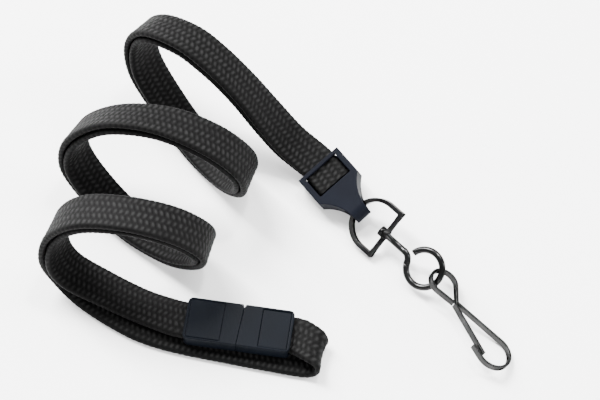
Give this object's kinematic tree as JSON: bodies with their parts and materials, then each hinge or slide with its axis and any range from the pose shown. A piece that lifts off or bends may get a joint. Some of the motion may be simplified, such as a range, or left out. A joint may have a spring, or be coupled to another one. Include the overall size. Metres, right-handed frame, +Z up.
{
  "type": "lanyard",
  "caption": "Flat braided neck lanyard lying in a loose coil, with a breakaway clasp, a crimp, a swivel eye and a sprung strip hook.",
  "frame": {"origin": "on the surface that the lanyard lies on, under the middle of the footprint of its hard pieces (crimp, bail, eye, hook and clasp)", "axes": "+Z up from the surface, +X across the lay from the coil towards the hook, +Y away from the clasp towards the far end of the coil"},
  "size_m": [0.1119, 0.0863, 0.0331],
  "materials": {
    "braid": "matt black braided polyester",
    "crimp_plastic": "satin dark navy moulded plastic",
    "clasp_plastic": "satin dark navy moulded plastic",
    "bail_metal": "bright black nickel plate",
    "eye_metal": "bright black nickel plate",
    "hook_metal": "satin grey nickel plate"
  },
  "bodies": {
    "lanyard": {"strap_inner": "braid", "strap_outer": "braid", "strap_outer_fold": "braid", "crimp_front": "crimp_plastic", "crimp_back": "crimp_plastic", "clasp_socket": "clasp_plastic", "socket_lid": "clasp_plastic"},
    "bail": {"bail": "bail_metal"},
    "eye": {"swivel_eye": "eye_metal"},
    "hook": {"hook_body": "hook_metal"},
    "gate": {"hook_gate": "hook_metal"},
    "plug": {"clasp_plug": "clasp_plastic", "plug_lid": "clasp_plastic", "strap_outer_end": "braid"}
  },
  "joints": [
    {"name": "bail_swing", "type": "hinge", "parent": "lanyard", "child": "bail", "pos_m": [0.00291, 0.01267, 0.00469], "axis": [0.593, 0.593, 0.5446], "range_deg": [-60, 80]},
    {"name": "eye_swivel", "type": "hinge", "parent": "bail", "child": "eye", "pos_m": [0.00962, 0.00595, 0.00469], "axis": [0.7071, -0.7071, 0], "continuous": true},
    {"name": "hook_swing", "type": "hinge", "parent": "eye", "child": "hook", "pos_m": [0.02201, -0.00604, 0.00485], "axis": [0.5616, 0.6602, 0.4988], "range_deg": [-60, 60]},
    {"name": "gate_flex", "type": "hinge", "parent": "hook", "child": "gate", "pos_m": [0.02549, -0.01234, 0.00458], "axis": [0.427, 0.198, 0.8823], "range_deg": [0, 12], "stiffness_Nm_per_rad": 0.3},
    {"name": "clasp_release", "type": "slide", "parent": "lanyard", "child": "plug", "axis": [0.989, -0.1478, 0], "range_m": [0, 0.008], "deforming": ["strap_outer_fold"]}
  ]
}
